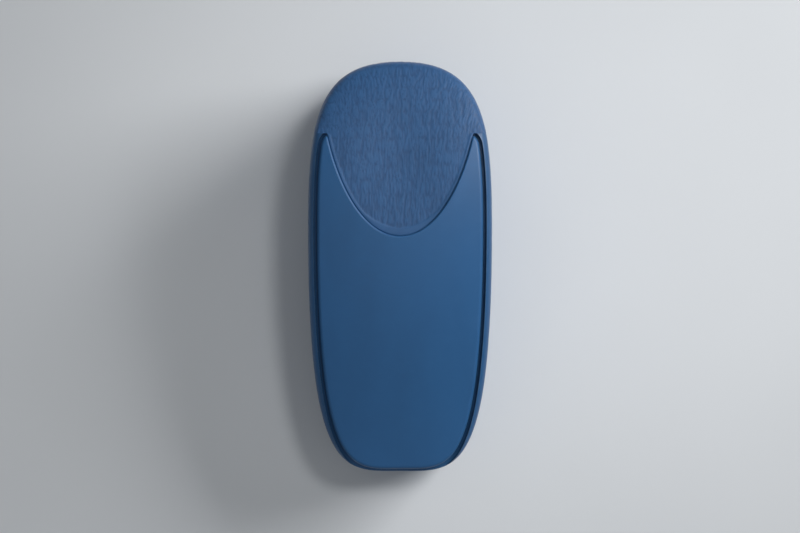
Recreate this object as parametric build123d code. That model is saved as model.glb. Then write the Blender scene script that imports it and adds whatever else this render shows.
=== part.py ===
"""Magnetic cleaner for flat aquarium glass, in two halves that hold each other through the pane.

The dry half is a wedge-shaped handle with a felt pad. The wet half is a flat float with a scrubbing pad.
They are stored pad to pad, the wet half underneath, lying on its flat back.

Frame: origin at the centre of the footprint on the surface that the wet half lies on, +Z up through
both halves, +Y along the body from the narrow tail to the wide nose, +X across. Millimetres.

Each half is drawn at its own heights, measured from the plane of the glass. The dry half stands that
way up on the glass plane, and the wet half is turned over under it.
"""

from build123d import *
from math import exp
import os

# Outline, seen from above: two Bezier curves a side, from the nose round to the tail.
LENGTH = 93.4
WIDTH = 41.9
WIDEST_Y = 9.0  # where the two sides run parallel
NOSE_FLAT = 0.9  # share of the half width taken by the nose curve's end handle
NOSE_SIDE = 0.66  # share of the nose's length taken by its side handle
TAIL_FLAT = 0.6
TAIL_SIDE = 1.05

# Side walls, from the glass up.
WIDEST_H = 10.0  # height of the widest section
FOOT_LEAN = 2.0  # how far the body draws in from there to the glass
NOSE_LEAN = 1.4  # extra lean of the nose, which overhangs its foot for the fingertips
TOP_DRAFT = 0.7
WALL = 1.8
FOOT_RADIUS = 0.6
PART_LINE = 0.2  # chamfer on each side of the joint between a base and its shell

# Crown of the handle: station along Y, height there, radius across the body, and depth of the thumb scoop.
CROWN = (
    (-58.0, 8.4, 80.0, -1.2),
    (-46.5, 12.7, 80.0, -1.2),
    (-22.0, 20.0, 80.0, -1.0),
    (4.0, 25.8, 80.0, 0.5),
    (21.0, 27.0, 75.0, 2.0),
    (36.0, 24.9, 64.0, 1.5),
    (46.5, 20.2, 58.0, -0.1),
    (58.0, 12.0, 54.0, -1.5),
)
SCOOP_WIDTH = 12.0  # half width where the scoop is a third as deep as in the middle
SCOOP_STEP = 4.0  # spacing of the points that draw the scoop across the body
CROWN_TOP = 30.0
EDGE_RADIUS = 2.2

# The inlay in the crown: a smooth panel and a textured grip.
INLAY = 1.8
INLAY_FLOOR = 1.5  # shell left under the inlay
RIM = 1.4  # lip of the shell round the panel
GROOVE = 0.8  # shadow gap between the lip and the panel
PANEL_EDGE = 0.9  # rounding of the panel's edge
TONGUE_EDGE = 0.35  # the same along the tongue
POCKET_END = 31.0  # where the pocket's two horns end
POCKET_CORNER = 4.0
POCKET_TAIL = 2.0  # how far the pocket's tail is moved out, so that it opens through the lip
PANEL_TAIL = 1.7  # and the panel's
SEAM_Y = 30.0  # where the shell's lip ends and the grip covers the nose
TONGUE = ((17.2, 34.0), (14.4, 17.0), (7.5, 6.9), (0.0, 6.9))  # right half of the grip's tongue
TONGUE_GAP = 0.08
GRIP_WALL = 1.5  # the grip round the nose, and its edge down the side, as y and height
GRIP_SEAM = ((SEAM_Y, 21.0), (SEAM_Y, 14.0), (SEAM_Y + 4.0, 9.0), (SEAM_Y + 11.0, 9.0))
NOSE_WALL = 3.0  # grip and shell together
NOSE_WALL_FROM = (SEAM_Y - 2.0, 7.5)  # y and height where that wall begins

# The wet half.
WET_HEIGHT = 18.0
WET_BACK_LEAN = 1.6
BACK_RADIUS = 4.0
BACK_RADIUS_LEAST = 1.6  # for the room inside, where it is drawn in far
BACK_GROOVE_INSET = 8.0
BACK_GROOVE_WIDTH = 0.9
BACK_GROOVE_DEPTH = 0.5

# Pads, their adhesive and the base plates.
FELT = 2.0
SCRUB = 2.5
PAD_LIP = 1.0  # lip of the base round the pad
PAD_RECESS = 1.3
TAPE = 0.3
BASE = 2.0
SPIGOT_GAP = 1.0  # room for the seal between the wall and the spigot
SPIGOT_WALL = 1.2
SPIGOT_HEIGHT = 2.2
SEAL_HEIGHT = 1.2
SEAL_EDGE = 0.25
FIT = 0.05  # play round a seal, a magnet, a peg or a screw

# Magnets, the steel plate that joins them, and the float.
MAGNET = (20.0, 14.0, 4.0)
MAGNET_Y = 12.5  # each side of the middle
MAGNET_FLOOR = 0.8  # plastic left under a magnet
MAGNET_EDGE = 0.4
POCKET_WALL = 1.0
YOKE = (22.4, 42.0, 1.0)
YOKE_CORNER = 2.0
FLOAT_SIZE = (30.0, 56.0)
FLOAT_CORNER = 6.0
FLOAT_PLAY = 0.3

# Screws: two at the nose, two at the tail.
SCREW_SPOTS = ((10.0, 33.5), (-10.0, 33.5), (8.5, -35.0), (-8.5, -35.0))
SCREW_RADIUS = 1.2
SCREW_LENGTH = 7.0
SCREW_TIP = 1.2
HEAD_RADIUS = 2.2
HEAD_HEIGHT = 1.2
CROSS = (2.4, 0.55, 0.7)  # the driver's recess: length, width and depth
BOSS_RADIUS = 2.6
BOSS_PLAY = 0.3
LUG_RADIUS = 3.4
LUG_HEIGHT = 1.2
PILOT_DEPTH = 5.0

# Pegs that hold the inlay to the shell.
PEG_RADIUS = 1.2
PEG_LENGTH = 1.1
PANEL_PEGS = ((12.5, 4.0), (-12.5, 4.0), (12.0, -26.0), (-12.0, -26.0))
GRIP_PEGS = ((8.0, 24.0), (-8.0, 24.0))

TALL = 60.0  # more than any height here
WIDE = 80.0  # more than any width here
MARGIN = 1.0  # how far a cutting tool runs past what it cuts


# ---- shared shapes ----


def outline(inset=0.0, nose_lean=0.0, tail_out=0.0):
    """The body's outline as a flat face, drawn in by inset, with the tail moved out."""
    half = WIDTH / 2 - inset
    nose = LENGTH / 2 - inset - nose_lean
    tail = -LENGTH / 2 + inset - tail_out
    nose_side = WIDEST_Y + NOSE_SIDE * (nose - WIDEST_Y)
    tail_side = WIDEST_Y - TAIL_SIDE * (WIDEST_Y - tail)
    edges = []
    for side in (half, -half):
        edges.append(Bezier((0, nose), (NOSE_FLAT * side, nose), (side, nose_side), (side, WIDEST_Y)))
        edges.append(Bezier((side, WIDEST_Y), (side, tail_side), (TAIL_FLAT * side, tail), (0, tail)))
    return make_face(edges)


def column(face, low, high):
    """A flat face drawn up from low to high."""
    return extrude(Pos(0, 0, low) * face, high - low)


def slab(low, high):
    """Everything between two heights."""
    return Pos(0, 0, (low + high) / 2) * Box(2 * WIDE, 2 * WIDE, high - low)


def block(size, y, low):
    """A box of that size with its underside at low, y along the body."""
    return Pos(0, y, low + size[2] / 2) * Box(*size)


def at_spots(solid, spots):
    """A copy of the solid at each spot."""
    return [Pos(x, y, 0) * solid for x, y in spots]


def sides(inset, foot, top, top_lean):
    """The body between its side walls, which bow out to WIDEST_H and lean in above it."""
    sections = []
    for height in (foot, (foot + WIDEST_H) / 2, WIDEST_H, (WIDEST_H + top) / 2, top):
        below = max(0, 1 - height / WIDEST_H) ** 2
        above = (max(0, height - WIDEST_H) / (top - WIDEST_H)) ** 2
        section = outline(inset + FOOT_LEAN * below + top_lean * above, NOSE_LEAN * below)
        sections.append(Pos(0, 0, height) * section)
    return loft(sections)


def crown_line(height, radius):
    """The crown across the body, as an arc whose top is at that height."""
    edge = height - (WIDE / 2) ** 2 / (2 * radius)
    return ThreePointArc((-WIDE / 2, edge), (0, height), (WIDE / 2, edge)).edges()


def scoop_line(height, radius, depth):
    """The crown across the body with a scoop that deep in the middle."""
    points = []
    steps = round(WIDE / 2 / SCOOP_STEP)
    for step in range(-steps, steps + 1):
        x = step * SCOOP_STEP
        hollow = depth * exp(-((x / SCOOP_WIDTH) ** 2))
        points.append((x, height - x * x / (2 * radius) - hollow))
    return Spline(*points).edges()


def above_crown(sink=0.0, scooped=False):
    """Everything above the crown lowered by sink, with the thumb scoop in it or without."""
    sections = []
    for y, height, radius, depth in CROWN:
        low = height - sink
        line = scoop_line(low, radius, depth) if scooped else crown_line(low, radius)
        left, right = line[0] @ 0, line[0] @ 1
        rest = Polyline((right.X, right.Y), (right.X, TALL), (left.X, TALL), (left.X, left.Y))
        across = Plane(origin=(0, y, 0), x_dir=(1, 0, 0), z_dir=(0, -1, 0))
        sections.append(across * make_face([*line, *rest.edges()]))
    return loft(sections)


def handle_form(inset=0.0, sink=0.0, foot=0.0):
    """The dry half's form, drawn in at the sides by inset and lowered at the crown by sink."""
    return sides(inset, foot, CROWN_TOP, TOP_DRAFT) - above_crown(sink)


def scooped_form(inset=0.0, sink=0.0, foot=0.0):
    """The same, with the thumb scoop in its crown."""
    return handle_form(inset, sink, foot) - above_crown(sink, scooped=True)


def wet_form(inset=0.0, foot=0.0):
    """The wet half's form, drawn in at the sides and the back by inset."""
    form = sides(inset, foot, WET_HEIGHT - inset, WET_BACK_LEAN)
    back = form.faces().sort_by(Axis.Z)[-1]
    return fillet(back.edges(), max(BACK_RADIUS - inset, BACK_RADIUS_LEAST))


# ---- pieces that both halves have ----


def pad(thickness):
    return column(outline(FOOT_LEAN + PAD_LIP, NOSE_LEAN), 0, thickness)


def tape(thickness):
    return column(outline(FOOT_LEAN + PAD_LIP + FIT, NOSE_LEAN), thickness, thickness + TAPE)


def base_plate(form, thickness):
    """The plate that closes a half, with a recess for its pad, magnet pockets and a spigot for the seal."""
    low = thickness + TAPE
    foot = low - PAD_RECESS
    top = low + BASE
    plate = form(0, foot=foot) & slab(foot, top)
    plate = fillet(plate.faces().sort_by(Axis.Z)[0].edges(), FOOT_RADIUS)
    plate = chamfer(plate.faces().sort_by(Axis.Z)[-1].edges(), PART_LINE)
    plate -= column(outline(FOOT_LEAN + PAD_LIP - FIT, NOSE_LEAN), foot - MARGIN, low)
    spigot = form(WALL + SPIGOT_GAP, foot=foot) - form(WALL + SPIGOT_GAP + SPIGOT_WALL, foot=foot)
    plate += spigot & slab(top - PART_LINE, top + SPIGOT_HEIGHT)
    plate += at_spots(Pos(0, 0, top) * Cylinder(LUG_RADIUS, 2 * LUG_HEIGHT), SCREW_SPOTS)
    magnet_low = low + MAGNET_FLOOR
    magnet_top = magnet_low + MAGNET[2]
    around = (MAGNET[0] + 2 * POCKET_WALL, MAGNET[1] + 2 * POCKET_WALL, magnet_top - top + MARGIN)
    pocket = (MAGNET[0] + 2 * FIT, MAGNET[1] + 2 * FIT, MAGNET[2] + MARGIN)
    for y in (MAGNET_Y, -MAGNET_Y):
        plate += block(around, y, top - MARGIN)
    for y in (MAGNET_Y, -MAGNET_Y):
        plate -= block(pocket, y, magnet_low)
    plate -= at_spots(column(Circle(BOSS_RADIUS + BOSS_PLAY), top + LUG_HEIGHT, TALL), SCREW_SPOTS)
    plate -= at_spots(column(Circle(SCREW_RADIUS + FIT), foot, TALL), SCREW_SPOTS)
    sink = Pos(0, 0, low + HEAD_HEIGHT / 2) * Cone(HEAD_RADIUS + FIT, SCREW_RADIUS + FIT, HEAD_HEIGHT)
    plate -= at_spots(sink, SCREW_SPOTS)
    return plate


def seal(form, thickness):
    """The seal in the corner between the base's spigot and the shell's wall."""
    low = thickness + TAPE
    top = low + BASE
    foot = low - PAD_RECESS
    band = form(WALL + FIT, foot=foot) - form(WALL + SPIGOT_GAP - FIT, foot=foot)
    band &= slab(top, top + SEAL_HEIGHT)
    return chamfer(band.faces().sort_by(Axis.Z)[-1].edges(), SEAL_EDGE)


def magnet(thickness, y):
    low = thickness + TAPE + MAGNET_FLOOR
    body = block(MAGNET, y, low)
    return chamfer(body.edges(), MAGNET_EDGE)


def yoke(thickness):
    """The steel plate on the two magnets' backs."""
    low = thickness + TAPE + MAGNET_FLOOR + MAGNET[2]
    return column(RectangleRounded(YOKE[0], YOKE[1], YOKE_CORNER), low, low + YOKE[2])


def float_block(thickness, room):
    """The foam that fills the room above the steel plate."""
    low = thickness + TAPE + MAGNET_FLOOR + MAGNET[2] + YOKE[2] + FLOAT_PLAY
    return column(RectangleRounded(*FLOAT_SIZE, FLOAT_CORNER), low, TALL) & room


def screws(thickness):
    """The four countersunk screws, one solid each."""
    low = thickness + TAPE
    shank_length = SCREW_LENGTH - HEAD_HEIGHT - SCREW_TIP
    head = Pos(0, 0, HEAD_HEIGHT / 2) * Cone(HEAD_RADIUS, SCREW_RADIUS, HEAD_HEIGHT)
    shank = Pos(0, 0, HEAD_HEIGHT + shank_length / 2) * Cylinder(SCREW_RADIUS, shank_length)
    tip = Pos(0, 0, SCREW_LENGTH - SCREW_TIP / 2) * Cone(SCREW_RADIUS, SCREW_RADIUS / 4, SCREW_TIP)
    length, width, depth = CROSS
    cross = Box(length, width, 2 * depth) + Box(width, length, 2 * depth)
    screw = head + shank + tip - cross
    return at_spots(Pos(0, 0, low) * screw, SCREW_SPOTS)


def bosses(thickness, room):
    """The shell's screw bosses, from the base's lugs up into the shell."""
    low = thickness + TAPE + BASE + LUG_HEIGHT
    return [boss & room for boss in at_spots(column(Circle(BOSS_RADIUS), low, TALL), SCREW_SPOTS)]


def pilot_holes(thickness):
    low = thickness + TAPE + BASE + LUG_HEIGHT
    return at_spots(column(Circle(SCREW_RADIUS + FIT), low - MARGIN, low + PILOT_DEPTH), SCREW_SPOTS)


# ---- the dry half ----


def behind(y):
    """Everything on the tail's side of y, seen from above."""
    return Pos(0, y - WIDE) * Rectangle(2 * WIDE, 2 * WIDE)


def ahead(y):
    return Pos(0, y + WIDE) * Rectangle(2 * WIDE, 2 * WIDE)


def horned(inset, tail_out, end, corner):
    """The pocket's plan, round the body up to its two horns."""
    plan = outline(inset, 0, tail_out) & behind(end)
    return fillet(plan.vertices().group_by(Axis.Y)[-1], corner)


def tongue(gap):
    """The grip's tongue between the horns, seen from above, grown by gap."""
    (x0, y0), (x1, y1), (x2, y2), (x3, y3) = TONGUE
    right = Bezier((x0 + gap, y0), (x1 + gap, y1), (x2, y2 - gap), (x3, y3 - gap))
    left = Bezier((-x0 - gap, y0), (-x1 - gap, y1), (-x2, y2 - gap), (x3, y3 - gap))
    close = Line((x0 + gap, y0), (-x0 - gap, y0))
    return make_face([right, left, close])


def nose_side():
    """The part of the side walls that the grip covers, as a column across the body."""
    seam = Bezier(*GRIP_SEAM)
    start, end = GRIP_SEAM[0], GRIP_SEAM[-1]
    rest = Polyline(end, (WIDE, end[1]), (WIDE, TALL), (start[0], TALL), start)
    return extrude(Plane.YZ * make_face([*seam.edges(), *rest.edges()]), WIDE, both=True)


def inlay_pegs(spots, form, radius, length):
    """Pegs down from the inlay's underside, which form gives."""
    layer = form(-MARGIN, INLAY - FIT) - form(-MARGIN, INLAY + length)
    return [peg & layer for peg in at_spots(column(Circle(radius), 0, TALL), spots)]


def pocket():
    """The plan of the pocket that the panel lies in."""
    return horned(RIM, POCKET_TAIL, POCKET_END, POCKET_CORNER)


def top_edges(panel):
    """The edges of the face that looks straightest up."""
    return max(panel.faces(), key=lambda face: face.normal_at().Z).edges()


def along_tongue(edge):
    """Whether the edge follows the tongue: then its middle is at the tongue's tip."""
    middle = edge.position_at(0.5)
    return abs(middle.X) < TONGUE[2][0] and middle.Y > 0


def palm_panel():
    """The smooth panel, set into the crown behind the grip's tongue."""
    plan = horned(RIM + GROOVE, PANEL_TAIL, POCKET_END - GROOVE, POCKET_CORNER - GROOVE) - tongue(TONGUE_GAP)
    panel = (handle_form(-MARGIN) - handle_form(-MARGIN, INLAY)) & column(plan, 0, TALL)
    beside = [edge for edge in top_edges(panel) if not along_tongue(edge)]
    panel = fillet(beside, PANEL_EDGE)
    tip = [edge for edge in top_edges(panel) if along_tongue(edge)]
    panel = fillet(tip, TONGUE_EDGE)
    return panel + inlay_pegs(PANEL_PEGS, handle_form, PEG_RADIUS, PEG_LENGTH)


def thumb_grip(body):
    """The soft textured grip: a tongue between the horns and a cap over the nose."""
    body = body - above_crown(0, scooped=True)
    plan = tongue(0) + (ahead(SEAM_Y) - pocket())
    over = (body - scooped_form(-MARGIN, INLAY)) & column(plan, 0, TALL)
    cap = (body - scooped_form(GRIP_WALL, INLAY)) & nose_side()
    return over + cap + inlay_pegs(GRIP_PEGS, scooped_form, PEG_RADIUS, PEG_LENGTH)


def handle_cavity():
    """The room inside the shell, with a thicker wall round the nose."""
    ceiling = INLAY + INLAY_FLOOR
    from_y, from_h = NOSE_WALL_FROM
    thin = slab(0, from_h) + Pos(0, from_y - WIDE, 0) * Box(2 * WIDE, 2 * WIDE, 2 * TALL)
    return (scooped_form(WALL, ceiling) & thin) + scooped_form(NOSE_WALL, ceiling)


def handle_shell(body):
    """The dry half's shell, hollow, with a pocket for the inlay."""
    shell = body & slab(FELT + TAPE + BASE, TALL)
    shell = chamfer(shell.faces().sort_by(Axis.Z)[0].edges(), PART_LINE)
    shell -= handle_cavity()
    shell += bosses(FELT, scooped_form(WALL, INLAY + FIT))
    panel_room = pocket() - tongue(0)
    grip_room = tongue(0) + (ahead(SEAM_Y) - pocket())
    shell -= (body - handle_form(-MARGIN, INLAY)) & column(panel_room, 0, TALL)
    shell -= (body - scooped_form(-MARGIN, INLAY)) & column(grip_room, 0, TALL)
    shell -= (body - scooped_form(GRIP_WALL, INLAY)) & nose_side()
    for spots, form in ((PANEL_PEGS, handle_form), (GRIP_PEGS, scooped_form)):
        shell -= inlay_pegs(spots, form, PEG_RADIUS + FIT, PEG_LENGTH + FIT)
    return shell - pilot_holes(FELT)


# ---- the wet half ----


def scrubber_shell():
    """The wet half's shell, with a shallow groove round its flat back."""
    low = SCRUB + TAPE
    shell = wet_form(0, foot=low - PAD_RECESS) & slab(low + BASE, TALL)
    shell = chamfer(shell.faces().sort_by(Axis.Z)[0].edges(), PART_LINE)
    shell -= wet_form(WALL, foot=0)
    shell += bosses(SCRUB, wet_form(WALL - FIT, foot=0))
    groove = outline(BACK_GROOVE_INSET) - outline(BACK_GROOVE_INSET + BACK_GROOVE_WIDTH)
    shell -= column(groove, WET_HEIGHT - BACK_GROOVE_DEPTH, TALL)
    return shell - pilot_holes(SCRUB)


# ---- assembly ----


def dry_half():
    """Name and shape of each piece of the dry half, at its height above the glass."""
    body = handle_form(foot=FELT + TAPE - PAD_RECESS)
    body = fillet(body.faces().sort_by(Axis.Z)[-1].edges(), EDGE_RADIUS)
    room = scooped_form(WALL + FLOAT_PLAY, INLAY + INLAY_FLOOR + FLOAT_PLAY)
    return {
        "felt_pad": pad(FELT),
        "felt_tape": tape(FELT),
        "handle_base": base_plate(handle_form, FELT),
        "handle_seal": seal(handle_form, FELT),
        "handle_magnet_nose": magnet(FELT, MAGNET_Y),
        "handle_magnet_tail": magnet(FELT, -MAGNET_Y),
        "handle_yoke": yoke(FELT),
        "handle_float": float_block(FELT, room),
        "handle_screws": screws(FELT),
        "handle_shell": handle_shell(body),
        "palm_panel": palm_panel(),
        "thumb_grip": thumb_grip(body),
    }


def wet_half():
    """The same for the wet half, before it is turned over."""
    return {
        "scrub_pad": pad(SCRUB),
        "scrub_tape": tape(SCRUB),
        "scrubber_base": base_plate(wet_form, SCRUB),
        "scrubber_seal": seal(wet_form, SCRUB),
        "scrubber_magnet_nose": magnet(SCRUB, MAGNET_Y),
        "scrubber_magnet_tail": magnet(SCRUB, -MAGNET_Y),
        "scrubber_yoke": yoke(SCRUB),
        "scrubber_float": float_block(SCRUB, wet_form(WALL + FLOAT_PLAY, foot=0)),
        "scrubber_screws": screws(SCRUB),
        "scrubber_shell": scrubber_shell(),
    }


def write(pieces, place):
    """Writes each piece's solids, put in their place, as one STEP file."""
    for name, shape in pieces.items():
        solids = shape if isinstance(shape, list) else [shape]
        export_step(Compound([place * s for solid in solids for s in solid.solids()]), f"parts/{name}.step")


def main():
    os.makedirs("parts", exist_ok=True)
    write(dry_half(), Pos(0, 0, WET_HEIGHT))
    write(wet_half(), Pos(0, 0, WET_HEIGHT) * Rot(0, 180, 0))


main()
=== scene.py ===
"""Looks of the magnetic glass cleaner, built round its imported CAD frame, in metres.

The handle is seen straight from above, with its wide nose at the top of the picture. The moulded
and metal parts keep their CAD meshes. The grip, the pads and the foam are rebuilt as detailed meshes.
"""

import math
import random

import bmesh
import bpy
import numpy as np
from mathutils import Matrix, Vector, geometry, noise
from mathutils.bvhtree import BVHTree


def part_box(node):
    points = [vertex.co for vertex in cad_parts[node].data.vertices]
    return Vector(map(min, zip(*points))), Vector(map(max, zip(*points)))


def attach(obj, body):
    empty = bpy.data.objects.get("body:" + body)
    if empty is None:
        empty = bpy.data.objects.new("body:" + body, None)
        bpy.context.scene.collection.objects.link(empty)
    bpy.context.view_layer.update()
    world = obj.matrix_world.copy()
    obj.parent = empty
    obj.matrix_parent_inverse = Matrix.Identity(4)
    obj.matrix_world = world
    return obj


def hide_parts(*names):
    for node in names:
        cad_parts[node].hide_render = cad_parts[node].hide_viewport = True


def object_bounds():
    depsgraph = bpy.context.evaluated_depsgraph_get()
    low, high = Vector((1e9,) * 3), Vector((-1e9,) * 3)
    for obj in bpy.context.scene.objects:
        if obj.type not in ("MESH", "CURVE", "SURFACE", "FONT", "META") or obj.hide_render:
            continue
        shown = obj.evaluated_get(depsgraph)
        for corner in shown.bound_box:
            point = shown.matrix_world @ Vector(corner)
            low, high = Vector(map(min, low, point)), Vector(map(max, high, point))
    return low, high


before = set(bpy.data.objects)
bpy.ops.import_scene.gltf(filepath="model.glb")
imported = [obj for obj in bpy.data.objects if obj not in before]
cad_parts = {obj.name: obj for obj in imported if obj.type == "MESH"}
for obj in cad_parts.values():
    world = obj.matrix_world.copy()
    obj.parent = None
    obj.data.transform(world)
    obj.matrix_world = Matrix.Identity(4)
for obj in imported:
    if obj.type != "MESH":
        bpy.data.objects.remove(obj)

MM = 0.001
CAD_LOW, CAD_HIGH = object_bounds()
HANDLE, WET = "handle_half", "scrubber_half"

# Colours, as red, green and blue from 0 to 255 on a screen.
SHELL_BLUE = (36, 82, 126)
PANEL_BLUE = (40, 91, 140)
BASE_BLUE = (28, 66, 106)
GRIP_BLUE = (42, 88, 136)
# painted shade for the creases of the grip's grain
GRIP_CREASE_SHADE = (24, 58, 100)
SCUFF_BLUE = (128, 156, 188)
FELT_GREY = (64, 68, 76)
FELT_PALE = (112, 116, 122)
NYLON_GREEN = (58, 92, 96)
NYLON_PALE = (120, 152, 150)
MAT_GREEN = (38, 58, 60)
FOAM_WHITE = (222, 220, 208)
TAPE_WHITE = (214, 208, 190)
SEAL_BLACK = (26, 27, 30)
NICKEL = (196, 192, 184)
ZINC = (176, 182, 190)
SCREW_GREY = (150, 154, 160)
PAPER = (226, 229, 232)

# The grip's grain: soft creases that run along the body.
GRIP_NET = 0.21 * MM
GRAIN_WIDTH = 0.54 * MM
GRAIN_LENGTH = 3.4 * MM
GRAIN_DEPTH = 0.10 * MM
GRAIN_SWELL = 0.05 * MM
CREASE = 0.16  # how far from zero the noise still makes a crease
FINE_GRAIN = (0.55, 0.5)  # width and length of the second, finer noise, in parts of the grain's
TALL = 9.0  # in metres: noise with grains as tall as this hardly changes with the height
WANDER = 0.35 * MM  # how far the creases wander sideways
WANDER_SIZE = (3 * MM, 4 * MM, TALL)
SIDE_LEAN = 18 * MM  # from the middle outwards the creases lean over the side more, up to this far out
FACING = (0, 0.5, 0.85)  # a direction: faces turned away from it have no grain
FACING_FADE = (0.0, 0.4)  # how far a face has to turn towards it for the grain to start and to be full
SMOOTH_BORDER = (0.7 * MM, 2.1 * MM)  # plain strip beside the panel, along the tongue's sides and at its tip
BORDER_FROM = (7 * MM, 13 * MM)  # where along the body the strip narrows from the tip's width to the sides'
BORDER_FADE = 0.12 * MM  # half the width in which the grain sets in beside the strip
BORDER_SINK = 0.12 * MM  # the grained part lies this much lower than the strip
NOSE_FROM = (30.5 * MM, 34 * MM)  # where along the body the rounding of the nose's edge sets in
NOSE_RISE = (33 * MM, 36 * MM)  # and from which height up
NOSE_ROUNDS = 130
SEAM_CLOSE = 0.12 * MM  # how far the tongue's edge is moved out against the panel
SEAM_REACH = (0.25 * MM, 0.5 * MM)  # distances from the panel between which that movement fades out

# The felt pad, the scrubbing pad and the foam.
LUMP_SHIFT = 1.2  # the noise of a pad's lumps is lowered by this, so that they hardly reach outwards
FELT_NET = 0.5 * MM
FELT_LUMP = 0.07 * MM
FELT_LUMP_SIZES = (1.4 * MM, 0.6 * MM)
FELT_FLOOR = 0.02 * MM  # the felt body's face stays at least this far from the glass
FELT_HAIRS = 6500  # places tried; those outside the pad get no hair
HAIR = 0.035 * MM
HAIR_POINTS = 4
HAIR_MARGIN = 0.4 * MM  # from the pad's edge
MAT_NET = 0.7 * MM
MAT_SHARE = 0.46  # of the scrubbing pad's thickness; its loops fill the rest
MAT_LUMP = 0.1 * MM
MAT_LUMP_SIZES = (1.1 * MM, 0.45 * MM)
LOOP_GAP = 0.98 * MM
LOOP_RADIUS = 0.13 * MM
LOOP_REACH = 0.75 * MM  # half the distance between a loop's two feet
LOOP_ROOT = 0.15 * MM  # how deep its feet stand in the mat
LOOP_MARGIN = 0.55 * MM  # from the pad's edge
LOOP_STEPS = 7
THREAD_SIDES = 3
FOAM_NET = 0.7 * MM
FOAM_CELL = 1.3 * MM
FOAM_PIT = 0.22 * MM

# The picture and its lights.
LENS = 180
PICTURE_SHARE = 0.78  # the body's length in parts of the picture's height
PICTURE_SHAPE = 1.5  # width over height
SPOT_SOFTNESS = 0.08
FLOOR_HALF = 3.0


# ---- small helpers ----


def linear(rgb, shade=1.0):
    """A screen colour as the linear colour that shaders take, made lighter or darker by shade."""
    out = []
    for value in rgb:
        c = value / 255
        out.append(shade * (c / 12.92 if c <= 0.04045 else ((c + 0.055) / 1.055) ** 2.4))
    return (*out, 1.0)


def link(obj):
    bpy.context.scene.collection.objects.link(obj)
    return obj


def points_of(mesh):
    flat = np.empty(len(mesh.vertices) * 3)
    mesh.vertices.foreach_get("co", flat)
    return flat.reshape(-1, 3)


def normals_of(mesh):
    flat = np.empty(len(mesh.vertices) * 3)
    mesh.vertex_normals.foreach_get("vector", flat)
    return flat.reshape(-1, 3)


def move_points(mesh, points):
    mesh.vertices.foreach_set("co", points.astype(np.float32).ravel())
    mesh.update()


def smoothstep(values, low, high):
    t = np.clip((values - low) / (high - low), 0, 1)
    return t * t * (3 - 2 * t)


def cloud(points, size, seed):
    """Smooth noise from about -1 to 1 at each point, its grains about size across, along each axis."""
    scaled = points / np.array(size) + seed
    return np.array([noise.noise(Vector(p)) for p in scaled])


def lumps(points, sizes, share, seeds):
    """Coarse noise with a share of a finer one, lowered so that little of it rises above zero."""
    coarse, fine = (cloud(points, (size,) * 3, seed) for size, seed in zip(sizes, seeds))
    return coarse + share * fine - LUMP_SHIFT


def pits(points, size):
    """Distance from each point to the nearest of scattered centres about size apart, in parts of size."""
    return np.array([noise.voronoi(Vector(p))[0][0] for p in points / size])


def relaxed(mesh, points, rounds, share=0.5):
    """The points after some rounds of moving each by a share of the way to its neighbours' middle."""
    pairs = np.empty(len(mesh.edges) * 2, int)
    mesh.edges.foreach_get("vertices", pairs)
    a, b = pairs.reshape(-1, 2).T
    count = np.bincount(a, minlength=len(points)) + np.bincount(b, minlength=len(points))
    for _ in range(rounds):
        total = np.zeros_like(points)
        for axis in range(3):
            total[:, axis] = np.bincount(a, points[b, axis], len(points))
            total[:, axis] += np.bincount(b, points[a, axis], len(points))
        points = points + share * (total / count[:, None] - points)
    return points


def remeshed(node, name, net):
    """A new object with the CAD node's shape, in an even net of quads that are net across."""
    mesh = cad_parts[node].data.copy()
    whole = bmesh.new()
    whole.from_mesh(mesh)
    bmesh.ops.remove_doubles(whole, verts=whole.verts, dist=0.0005 * MM)
    whole.to_mesh(mesh)
    whole.free()
    obj = link(bpy.data.objects.new(name, mesh))
    modifier = obj.modifiers.new("net", "REMESH")
    modifier.mode = "VOXEL"
    modifier.voxel_size = net
    graph = bpy.context.evaluated_depsgraph_get()
    made = bpy.data.meshes.new_from_object(obj.evaluated_get(graph))
    obj.modifiers.clear()
    obj.data = made
    made.materials.clear()
    made.name = name
    made.polygons.foreach_set("use_smooth", [True] * len(made.polygons))
    return obj


def seat(obj, body, material, node=None):
    """Gives a new piece its material and its body, and hides the CAD node that it stands for, if there is
    one.
    """
    obj.data.materials.append(material)
    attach(obj, body)
    if node is not None:
        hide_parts(node)


def surface_of(mesh):
    return BVHTree.FromPolygons([v.co for v in mesh.vertices], [p.vertices for p in mesh.polygons])


def shade_points(mesh, name, values):
    """Keeps one value for each point, which a material reads by its name."""
    shade = mesh.attributes.new(name, "FLOAT", "POINT")
    shade.data.foreach_set("value", values)


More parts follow.
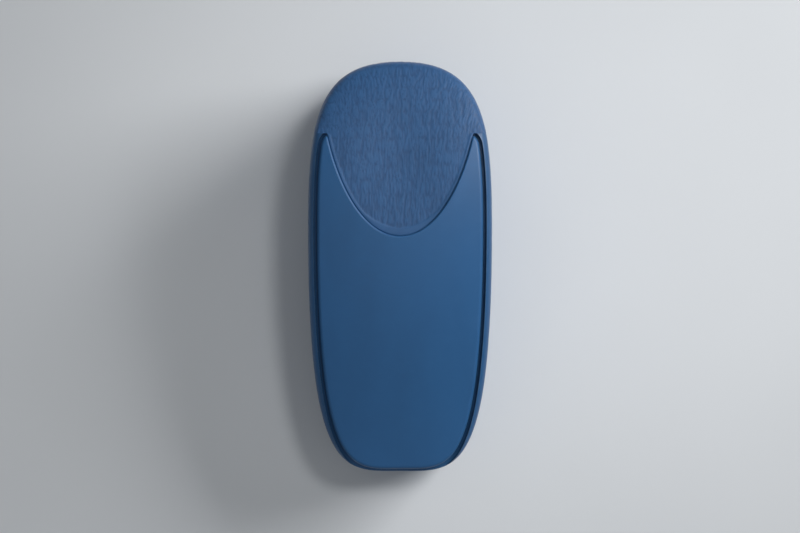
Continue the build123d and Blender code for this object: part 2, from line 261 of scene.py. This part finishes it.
class Material:
    """A node material with a Principled shader, and short ways to add nodes to it."""

    def __init__(self, name, metallic=0.0, ior=1.46, sheen=0.0):
        self.data = bpy.data.materials.new(name)
        self.data.use_nodes = True
        self.tree = self.data.node_tree
        self.shader = self.tree.nodes["Principled BSDF"]
        self.set(self.shader, Metallic=metallic, IOR=ior, Sheen_Weight=sheen)
        self.where = self.add("ShaderNodeTexCoord").outputs["Object"]

    def set(self, node, **values):
        for key, value in values.items():
            self.put(node.inputs[key.replace("_", " ")], value)

    def put(self, socket, value):
        if isinstance(value, bpy.types.NodeSocket):
            self.tree.links.new(value, socket)
        else:
            socket.default_value = value

    def add(self, kind, **props):
        node = self.tree.nodes.new(kind)
        for key, value in props.items():
            setattr(node, key, value)
        return node

    def stretched(self, scale):
        """The place on the object, in metres, multiplied by scale along each axis."""
        node = self.add("ShaderNodeVectorMath", operation="MULTIPLY")
        self.put(node.inputs[0], self.where)
        self.put(node.inputs[1], scale)
        return node.outputs[0]

    def noise(self, size, detail=3.0, rough=0.55, stretch=(1, 1, 1), distort=0.0):
        """Cloudy noise from 0 to 1, its grains about size metres across."""
        node = self.add("ShaderNodeTexNoise")
        self.set(node, Scale=1.0, Detail=detail, Roughness=rough, Distortion=distort)
        self.put(node.inputs["Vector"], self.stretched([s / size for s in stretch]))
        return node.outputs["Fac"]

    def cells(self, size):
        """Distance to the nearest of scattered centres about size metres apart, in parts of size."""
        node = self.add("ShaderNodeTexVoronoi", feature="F1")
        self.set(node, Scale=1.0)
        self.put(node.inputs["Vector"], self.stretched([1 / size] * 3))
        return node.outputs["Distance"]

    def attribute(self, name):
        return self.add("ShaderNodeAttribute", attribute_name=name).outputs["Fac"]

    def ramp(self, value, low, high, start=0.0, end=1.0):
        """value, from start to end, turned into low to high."""
        node = self.add("ShaderNodeMapRange")
        for index, number in enumerate((value, start, end, low, high)):
            self.put(node.inputs[index], number)
        return node.outputs[0]

    def mix(self, share, a, b):
        node = self.add("ShaderNodeMix", data_type="RGBA")
        self.put(node.inputs[0], share)
        self.put(node.inputs[6], a)
        self.put(node.inputs[7], b)
        return node.outputs[2]

    def math(self, operation, a, b):
        node = self.add("ShaderNodeMath", operation=operation)
        self.put(node.inputs[0], a)
        self.put(node.inputs[1], b)
        return node.outputs[0]

    def bump(self, height, distance, strength, under=None):
        """A bumped normal; under is the normal of a finer relief below this one."""
        node = self.add("ShaderNodeBump")
        self.set(node, Strength=strength, Distance=distance, Height=height)
        if under is not None:
            self.set(node, Normal=under)
        return node.outputs[0]

    def edges(self, radius):
        """0 on flat faces, rising to 1 on sharp edges."""
        bevel = self.add("ShaderNodeBevel", samples=4)
        self.set(bevel, Radius=radius)
        true = self.add("ShaderNodeNewGeometry").outputs["Normal"]
        dot = self.add("ShaderNodeVectorMath", operation="DOT_PRODUCT")
        self.put(dot.inputs[0], bevel.outputs[0])
        self.put(dot.inputs[1], true)
        return self.ramp(dot.outputs["Value"], 0.0, 1.0, 1.0, 0.8)

    def finish(self, color, rough, normal=None):
        self.set(self.shader, Base_Color=color, Roughness=rough)
        if normal is not None:
            self.set(self.shader, Normal=normal)
        return self.data


# ---- materials ----


def moulded(name, rgb, rough, grain, relief):
    """Injection-moulded plastic: spark-eroded grain, faint flow marks, handling marks and paler edges."""
    m = Material(name)
    flow = m.noise(14 * MM, 2.0, 0.5, stretch=(1, 0.35, 1), distort=0.6)
    marks = m.noise(2.2 * MM, 4.0, 0.65)
    color = m.mix(m.ramp(flow, 0.0, 1.0, 0.3, 0.7), linear(rgb, 0.93), linear(rgb, 1.07))
    color = m.mix(m.ramp(marks, 0.0, 0.10, 0.45, 0.75), color, linear(rgb, 1.5))
    wear = m.math("MULTIPLY", m.edges(0.35 * MM), m.ramp(marks, 0.0, 0.25, 0.35, 0.7))
    color = m.mix(wear, color, linear(SCUFF_BLUE))
    shine = m.ramp(marks, rough - 0.05, rough + 0.07, 0.3, 0.7)
    fine = m.bump(m.noise(grain, 3.0, 0.6), relief, 0.6)
    return m.finish(color, shine, m.bump(flow, 0.05 * MM, 0.25, fine))


def soft_grip():
    """Soft-touch rubber, with painted shade in the creases of its grain."""
    m = Material("grip_rubber", sheen=0.08)
    tone = m.noise(5 * MM, 3.0, 0.6)
    color = m.mix(m.ramp(tone, 0.0, 1.0, 0.3, 0.7), linear(GRIP_BLUE, 0.94), linear(GRIP_BLUE, 1.06))
    # painted shade: the colour darkens with the depth of each crease
    color = m.mix(m.ramp(m.attribute("crease"), 0.0, 0.75), color, linear(GRIP_CREASE_SHADE))
    shine = m.ramp(m.noise(1.1 * MM, 3.0), 0.5, 0.62, 0.3, 0.7)
    return m.finish(color, shine, m.bump(m.noise(0.16 * MM, 3.0, 0.65), 0.02 * MM, 0.6))


def felt():
    """Pressed wool felt: mottled grey, pale single hairs and a soft sheen."""
    m = Material("felt_wool", sheen=0.5)
    m.set(m.shader, Sheen_Roughness=0.5)
    patch = m.noise(3.5 * MM, 4.0, 0.65)
    hair = m.noise(0.35 * MM, 3.0, 0.7, stretch=(1, 0.4, 1), distort=1.5)
    color = m.mix(m.ramp(patch, 0.0, 1.0, 0.3, 0.7), linear(FELT_GREY, 0.8), linear(FELT_GREY, 1.25))
    color = m.mix(m.ramp(hair, 0.0, 0.6, 0.55, 0.75), color, linear(FELT_PALE))
    return m.finish(color, m.ramp(hair, 0.85, 1.0), m.bump(hair, 0.09 * MM, 0.7))


def felt_hair():
    """Loose hairs of the felt, of the same wool."""
    m = Material("felt_hair", sheen=0.3)
    tone = m.noise(1.2 * MM, 2.0)
    color = m.mix(m.ramp(tone, 0.0, 1.0, 0.3, 0.7), linear(FELT_GREY), linear(FELT_PALE))
    return m.finish(color, m.ramp(tone, 0.75, 0.95))


def nylon():
    """The scrubbing pad's loops: slightly glossy nylon, some threads paler than others."""
    m = Material("scrub_nylon", ior=1.53, sheen=0.1)
    thread = m.attribute("thread")
    color = m.mix(m.ramp(thread, 0.0, 1.0), linear(NYLON_GREEN), linear(NYLON_PALE, 0.75))
    color = m.mix(m.ramp(m.noise(6 * MM, 3.0), 0.0, 0.35, 0.4, 0.7), color, linear(MAT_GREEN))
    drawn = m.noise(0.12 * MM, 2.0, 0.5, stretch=(1, 1, 0.3))
    return m.finish(color, m.ramp(drawn, 0.32, 0.5), m.bump(drawn, 0.02 * MM, 0.4))


def needled_mat():
    """The mat that the loops stand on."""
    m = Material("scrub_mat", sheen=0.3)
    tangle = m.noise(0.4 * MM, 4.0, 0.75, distort=2.0)
    color = m.mix(m.ramp(tangle, 0.0, 1.0, 0.35, 0.65), linear(MAT_GREEN, 0.55), linear(NYLON_GREEN, 0.9))
    return m.finish(color, m.ramp(tangle, 0.7, 0.95), m.bump(tangle, 0.12 * MM, 0.8))


def foam():
    """Closed-cell foam: cream, with painted shade in the pits of its cells between thin walls of its own
    colour.
    """
    m = Material("float_foam", ior=1.4)
    small = m.cells(0.5 * MM)
    age = m.noise(9 * MM, 3.0)
    color = m.mix(m.ramp(age, 0.0, 1.0, 0.3, 0.7), linear(FOAM_WHITE, 0.86), linear(FOAM_WHITE))
    # painted shade: darker towards the middle of each cell, where the bump sinks a pit
    color = m.mix(m.ramp(small, 0.35, 0.0, 0.1, 0.6), color, linear(FOAM_WHITE, 0.55))
    return m.finish(color, m.ramp(small, 0.75, 0.9), m.bump(small, 0.08 * MM, 0.7))


def adhesive():
    """Acrylic foam tape: cream, faintly speckled and slightly tacky."""
    m = Material("tape_acrylic", ior=1.47)
    speck = m.noise(0.5 * MM, 3.0, 0.7)
    streak = m.noise(3 * MM, 2.0, 0.5, stretch=(1, 0.15, 1))
    color = m.mix(m.ramp(streak, 0.0, 1.0, 0.3, 0.7), linear(TAPE_WHITE, 0.88), linear(TAPE_WHITE))
    color = m.mix(m.ramp(speck, 0.0, 0.5, 0.6, 0.75), color, linear(TAPE_WHITE, 0.6))
    return m.finish(color, m.ramp(speck, 0.35, 0.6), m.bump(speck, 0.03 * MM, 0.5))


def seal_rubber():
    """Black rubber with a mould's bloom and dusty specks."""
    m = Material("seal_rubber_black", ior=1.5)
    bloom = m.noise(2.5 * MM, 3.0, 0.6)
    speck = m.noise(0.25 * MM, 3.0, 0.6)
    color = m.mix(m.ramp(bloom, 0.0, 1.0, 0.35, 0.7), linear(SEAL_BLACK), linear(SEAL_BLACK, 2.4))
    return m.finish(color, m.ramp(bloom, 0.45, 0.72), m.bump(speck, 0.02 * MM, 0.6))


def plated(name, rgb, rough, brushed, scratch):
    """Plated metal, brushed along one axis, with scratches, dull patches and darker edges."""
    m = Material(name, metallic=1.0)
    lines = m.noise(0.12 * MM, 4.0, 0.7, stretch=brushed)
    patch = m.noise(4 * MM, 4.0, 0.6)
    cuts = m.noise(0.5 * MM, 2.0, 0.5, stretch=(1, 0.06, 1), distort=0.4)
    color = m.mix(m.ramp(patch, 0.0, 1.0, 0.3, 0.7), linear(rgb, 0.86), linear(rgb, 1.05))
    color = m.mix(m.ramp(cuts, 0.0, scratch, 0.62, 0.72), color, linear(rgb, 0.5))
    color = m.mix(m.math("MULTIPLY", m.edges(0.2 * MM), 0.5), color, linear(rgb, 0.4))
    shine = m.ramp(lines, rough - 0.06, rough + 0.1, 0.25, 0.75)
    shine = m.math("ADD", shine, m.ramp(patch, 0.0, 0.12, 0.5, 0.7))
    return m.finish(color, shine, m.bump(lines, 0.01 * MM, 0.5))


# ---- pieces ----


def border_width(y):
    """The plain strip's width at each place along the body."""
    at_sides, at_tip = SMOOTH_BORDER
    return at_tip + (at_sides - at_tip) * smoothstep(y, *BORDER_FROM)


def rounded_nose(mesh):
    """The grip's points, with the crisp edge of the nose relaxed into a soft one."""
    points = relaxed(mesh, points_of(mesh), 1)
    rim = smoothstep(points[:, 1], *NOSE_FROM) * smoothstep(points[:, 2], *NOSE_RISE)
    return relaxed(mesh, points, NOSE_ROUNDS, (0.5 * rim)[:, None])


def crease_noise(points):
    """How deep in a crease each point is, about 0 to 1, and a finer noise from about -1 to 1."""
    x, y, z = points.T
    lean = np.clip(x / SIDE_LEAN, -1, 1)
    along = np.column_stack([x - lean * z, y - z, 0.2 * z])  # runs on over the edge of the nose and the sides
    along[:, 0] += WANDER * cloud(along, WANDER_SIZE, 5.0)
    coarse = cloud(along, (GRAIN_WIDTH, GRAIN_LENGTH, TALL), 11.0)
    fine = cloud(along, (GRAIN_WIDTH * FINE_GRAIN[0], GRAIN_LENGTH * FINE_GRAIN[1], TALL), 23.0)
    return np.exp(-((coarse / CREASE) ** 2)) * (0.6 + 0.4 * fine), fine


def build_grip():
    """The rubber grip with its grain of lengthwise creases, which leaves a plain strip beside the panel."""
    obj = remeshed("thumb_grip", "grip_skin", GRIP_NET)
    mesh = obj.data
    points = rounded_nose(mesh)
    panel = surface_of(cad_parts["palm_panel"].data)
    gap = np.array([panel.find_nearest(Vector(p))[3] for p in points])
    move_points(mesh, points)
    normals = normals_of(mesh)
    closing = SEAM_CLOSE * (1 - smoothstep(gap, *SEAM_REACH)) * (1 - abs(normals[:, 2]))
    points += normals * closing[:, None]
    crease, fine = crease_noise(points)
    width = border_width(points[:, 1])
    grained = smoothstep(gap, width - BORDER_FADE, width + BORDER_FADE)
    grained = grained * smoothstep(normals @ np.array(FACING), *FACING_FADE)
    height = grained * (GRAIN_SWELL * fine - GRAIN_DEPTH * crease - BORDER_SINK)
    move_points(mesh, points + normals * height[:, None])
    # the crease depth, kept for the grip's material, which turns it into painted shade
    shade_points(mesh, "crease", (grained * np.clip(crease, 0, 1)).astype(np.float32))
    seat(obj, HANDLE, soft_grip(), "thumb_grip")


def outline_of(node, inset):
    """A pad's outline, seen from above, drawn in by inset: a test of whether a place is inside it."""
    places = sorted({(round(v.co.x, 5), round(v.co.y, 5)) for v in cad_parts[node].data.vertices})
    a = np.array([places[i] for i in geometry.convex_hull_2d(places)])
    side = np.roll(a, -1, axis=0) - a
    inward = np.column_stack([-side[:, 1], side[:, 0]]) / np.linalg.norm(side, axis=1)[:, None]
    middle = a.mean(axis=0)
    inward *= np.sign(((middle - a) * inward).sum(axis=1))[:, None]

    def inside(place):
        return ((np.array(place) - a) * inward).sum(axis=1).min() > inset

    return inside


def add_thread(verts, faces, path, radius):
    """Adds a thin tube along a path of points to the lists of a mesh."""
    first = len(verts)
    sides = THREAD_SIDES
    for index, point in enumerate(path):
        ahead = path[min(index + 1, len(path) - 1)] - path[max(index - 1, 0)]
        across = ahead.cross(Vector((0.13, 0.29, 1)))
        if across.length < 1e-9:
            across = ahead.cross(Vector((1, 0, 0)))
        across.normalize()
        up = ahead.cross(across).normalized()
        for turn in range(sides):
            angle = 2 * math.pi * turn / sides
            verts.append(point + radius * (math.cos(angle) * across + math.sin(angle) * up))
    for index in range(len(path) - 1):
        low = first + index * sides
        for turn in range(sides):
            after = (turn + 1) % sides
            faces.append((low + turn, low + after, low + sides + after, low + sides + turn))
    faces.append(tuple(first + turn for turn in reversed(range(sides))))
    last = first + (len(path) - 1) * sides
    faces.append(tuple(last + turn for turn in range(sides)))


def threads_object(name, verts, faces):
    mesh = bpy.data.meshes.new(name)
    mesh.from_pydata(verts, [], faces)
    mesh.polygons.foreach_set("use_smooth", [True] * len(mesh.polygons))
    mesh.update()
    return link(bpy.data.objects.new(name, mesh))


def build_felt():
    """The felt pad's lumpy pressed body."""
    low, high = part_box("felt_pad")
    obj = remeshed("felt_pad", "felt_body", FELT_NET)
    mesh = obj.data
    points = relaxed(mesh, points_of(mesh), 1)
    normals = normals_of(mesh)
    points += normals * (FELT_LUMP * lumps(points, FELT_LUMP_SIZES, 0.6, (3.0, 8.0)))[:, None]
    points[:, 2] = np.clip(points[:, 2], low.z + FELT_FLOOR, high.z)
    move_points(mesh, points)
    seat(obj, HANDLE, felt(), "felt_pad")
    build_hairs(mesh)


def hair_path(rng, body, start):
    """A curl of points that lie on the felt's face, seen by rays from below; fewer points at its edge."""
    turn = rng.uniform(0, 2 * math.pi)
    bend = rng.uniform(-1.2, 1.2)
    step = rng.uniform(0.3, 0.8) * MM
    path, place = [], start
    for _ in range(HAIR_POINTS):
        hit = body.ray_cast(place, Vector((0, 0, 1)))[0]
        if hit is not None:
            path.append(hit + Vector((0, 0, rng.uniform(-0.02, 0.03) * MM)))
        place = place + step * Vector((math.cos(turn), math.sin(turn), 0))
        turn += bend * rng.uniform(0.2, 0.6)
    return path


def build_hairs(mesh):
    """Loose hairs lying on the face of the felt body."""
    low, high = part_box("felt_pad")
    rng = random.Random(7)
    inside = outline_of("felt_pad", HAIR_MARGIN)
    body = surface_of(mesh)
    verts, faces = [], []
    for _ in range(FELT_HAIRS):
        x = rng.uniform(low.x, high.x)
        y = rng.uniform(low.y, high.y)
        if not inside((x, y)):
            continue
        path = hair_path(rng, body, Vector((x, y, low.z - 1 * MM)))
        if len(path) == HAIR_POINTS:
            add_thread(verts, faces, path, HAIR)
    seat(threads_object("felt_hairs", verts, faces), HANDLE, felt_hair())


def build_scrub():
    """The scrubbing pad's needled mat, in the lower part of the pad's room."""
    low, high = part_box("scrub_pad")
    obj = remeshed("scrub_pad", "scrub_mat", MAT_NET)
    mesh = obj.data
    points = relaxed(mesh, points_of(mesh), 1)
    points[:, 2] = low.z + (points[:, 2] - low.z) * MAT_SHARE
    normals = normals_of(mesh)
    points += normals * (MAT_LUMP * lumps(points, MAT_LUMP_SIZES, 0.7, (4.0, 9.0)))[:, None]
    points[:, 2] = np.clip(points[:, 2], low.z, high.z)
    move_points(mesh, points)
    seat(obj, WET, needled_mat(), "scrub_pad")
    build_loops(low.z + (high.z - low.z) * MAT_SHARE)


def loop_path(rng, foot, room):
    """A leaning arch of points over the place foot, which nearly fills the room above the mat."""
    turn = rng.uniform(0, math.pi)
    reach = LOOP_REACH * rng.uniform(0.6, 1.15)
    rise = room * rng.uniform(0.8, 0.93)
    lean = Vector((rng.uniform(-0.5, 0.5), rng.uniform(-0.5, 0.5), 0)) * MM
    along = Vector((math.cos(turn), math.sin(turn), 0))
    path = []
    for step in range(LOOP_STEPS + 1):
        angle = math.pi * (step / LOOP_STEPS)
        up = math.sin(angle)
        path.append(foot - along * reach * math.cos(angle) + Vector((0, 0, rise * up ** 0.8)) + lean * up)
    return path


def build_loops(mat_top):
    """A dense pile of nylon loops that stand in the mat, in rows set off by half a gap."""
    low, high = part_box("scrub_pad")
    rng = random.Random(11)
    inside = outline_of("scrub_pad", LOOP_MARGIN)
    verts, faces, thread = [], [], []
    rows = int((high.y - low.y) / LOOP_GAP)
    columns = int((high.x - low.x) / LOOP_GAP)
    for row in range(rows + 1):
        for column in range(columns + 1):
            x = low.x + (column + 0.5 * (row % 2) + rng.uniform(-0.3, 0.3)) * LOOP_GAP
            y = low.y + (row + rng.uniform(-0.3, 0.3)) * LOOP_GAP
            if not inside((x, y)):
                continue
            path = loop_path(rng, Vector((x, y, mat_top - LOOP_ROOT)), high.z - mat_top)
            before = len(verts)
            add_thread(verts, faces, path, LOOP_RADIUS * rng.uniform(0.75, 1.1))
            thread += [rng.random()] * (len(verts) - before)
    loops = threads_object("scrub_loops", verts, faces)
    shade_points(loops.data, "thread", thread)
    seat(loops, WET, nylon())


def build_float(node, name, body, material):
    """A foam block, its cut faces pitted by opened cells."""
    obj = remeshed(node, name, FOAM_NET)
    mesh = obj.data
    points = relaxed(mesh, points_of(mesh), 1)
    normals = normals_of(mesh)
    depth = FOAM_PIT * (1 - smoothstep(pits(points, FOAM_CELL), 0.15, 0.6))
    move_points(mesh, points - normals * depth[:, None])
    seat(obj, body, material, node)


# ---- stage ----


def place_camera():
    """Straight above the handle, the nose at the top of the picture."""
    lens = bpy.data.cameras.new("camera")
    lens.lens = LENS
    lens.clip_end = 20
    camera = link(bpy.data.objects.new("camera", lens))
    shown = (CAD_HIGH.y - CAD_LOW.y) / PICTURE_SHARE  # height of the picture, at the handle
    distance = shown * PICTURE_SHAPE * lens.lens / lens.sensor_width
    camera.location = (0, 0, CAD_HIGH.z + distance)
    bpy.context.scene.camera = camera


def hang(name, data, where, aim):
    """Puts a light at a place, turned towards its aim."""
    light = link(bpy.data.objects.new(name, data))
    light.location = where
    light.rotation_euler = (Vector(aim) - Vector(where)).to_track_quat("-Z", "Y").to_euler()


def softbox(name, where, size, power):
    """A square light, size metres across, turned towards the halves' middle."""
    data = bpy.data.lights.new(name, "AREA")
    data.shape = "RECTANGLE"
    data.size = data.size_y = size
    data.energy = power
    hang(name, data, where, (0, 0, 0.02))


def spot(name, where, aim, reach, power):
    """A round light that fades out evenly from its aim to reach, in metres."""
    away = (Vector(aim) - Vector(where)).length
    data = bpy.data.lights.new(name, "SPOT")
    data.spot_size = 2 * math.atan(reach / away)
    data.spot_blend = 1.0
    data.shadow_soft_size = SPOT_SOFTNESS
    data.energy = power
    hang(name, data, where, aim)


def studio():
    """Pale surroundings, a key light from the right, a faint wash from above and a spot on the handle."""
    scene = bpy.context.scene
    scene.view_settings.view_transform = "Standard"
    world = bpy.data.worlds.new("studio")
    world.use_nodes = True
    world.node_tree.nodes["Background"].inputs[0].default_value = (0.92, 0.96, 1.0, 1)
    world.node_tree.nodes["Background"].inputs[1].default_value = 0.2
    scene.world = world
    softbox("key", (0.36, 0.20, 0.30), 0.26, 2.0)
    softbox("wash", (-0.1, -0.1, 0.9), 0.6, 0.45)
    spot("top", (0.14, 0.12, 0.60), (0.008, 0.004, 0.03), 0.052, 10.0)


def floor():
    """A wide sheet of pale paper under the cleaner."""
    mesh = bpy.data.meshes.new("floor")
    corners = [(-1, -1), (1, -1), (1, 1), (-1, 1)]
    mesh.from_pydata([(x * FLOOR_HALF, y * FLOOR_HALF, 0) for x, y in corners], [], [(0, 1, 2, 3)])
    plane = link(bpy.data.objects.new("floor", mesh))
    m = Material("floor_paper")
    tone = m.mix(m.noise(60 * MM, 2.0), linear(PAPER, 0.97), linear(PAPER, 1.03))
    mesh.materials.append(m.finish(tone, 0.8))


def paint(names, material):
    """Gives the CAD nodes with these names the material."""
    for name in names:
        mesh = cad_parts[name].data
        mesh.materials.clear()
        mesh.materials.append(material)


place_camera()
studio()
floor()

paint(["handle_shell", "scrubber_shell"], moulded("shell_blue", SHELL_BLUE, 0.42, 0.28 * MM, 0.045 * MM))
paint(["palm_panel"], moulded("panel_blue", PANEL_BLUE, 0.42, 0.18 * MM, 0.02 * MM))
paint(["handle_base", "scrubber_base"], moulded("base_blue", BASE_BLUE, 0.46, 0.28 * MM, 0.05 * MM))
paint(["felt_tape", "scrub_tape"], adhesive())
paint(["handle_seal", "scrubber_seal"], seal_rubber())
paint(
    ["handle_magnet_nose", "handle_magnet_tail", "scrubber_magnet_nose", "scrubber_magnet_tail"],
    plated("magnet_nickel", NICKEL, 0.18, (1, 1, 1), 0.35),
)
paint(["handle_yoke", "scrubber_yoke"], plated("yoke_zinc", ZINC, 0.34, (1, 0.04, 1), 0.5))
paint(["handle_screws", "scrubber_screws"], plated("screw_zinc", SCREW_GREY, 0.28, (1, 1, 0.15), 0.2))

build_grip()
build_felt()
build_scrub()
cream = foam()
build_float("handle_float", "handle_foam", HANDLE, cream)
build_float("scrubber_float", "scrubber_foam", WET, cream)
